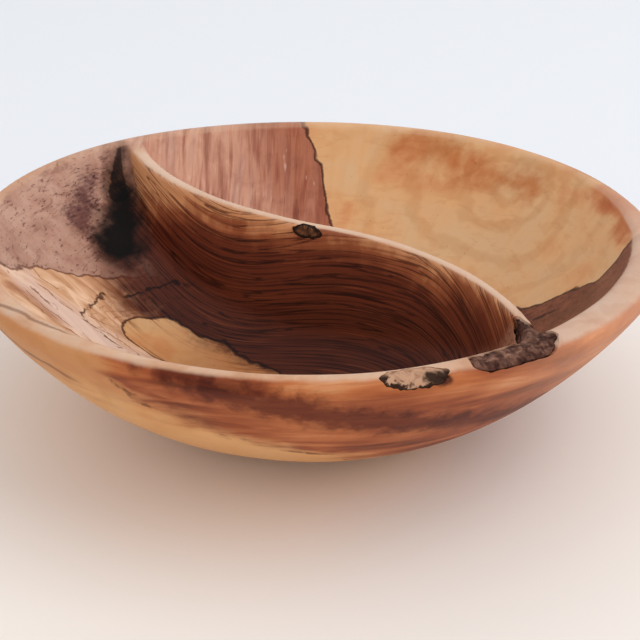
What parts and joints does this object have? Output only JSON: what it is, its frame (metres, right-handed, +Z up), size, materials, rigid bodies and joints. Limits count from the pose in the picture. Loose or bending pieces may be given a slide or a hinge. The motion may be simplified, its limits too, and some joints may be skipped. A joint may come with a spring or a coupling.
{
  "type": "divided yarn bowl",
  "caption": "Round carved olive-wood bowl with a thin S-shaped wall that divides its hollow into comma-shaped pockets for yarn balls or snacks.",
  "frame": {"origin": "middle of the flat foot, on the surface that the bowl stands on", "axes": "+Z up through the rim's middle, +X to the right and -Y towards the user, with the dividing wall running from back left to front right"},
  "size_m": [0.22, 0.22, 0.062],
  "materials": {
    "olive_wood": "oiled satin olive wood, golden sapwood with brown figure",
    "olive_heartwood": "oiled satin olive heartwood with fine dark lines",
    "bark": "sanded grey-brown bark inclusion, dull",
    "knot": "dark sanded knot, satin"
  },
  "bodies": {
    "root": {"bowl_shell": "olive_wood", "divider": "olive_heartwood", "bark_inclusion": "bark", "rim_knot": "knot", "divider_knot": "knot"}
  },
  "joints": []
}
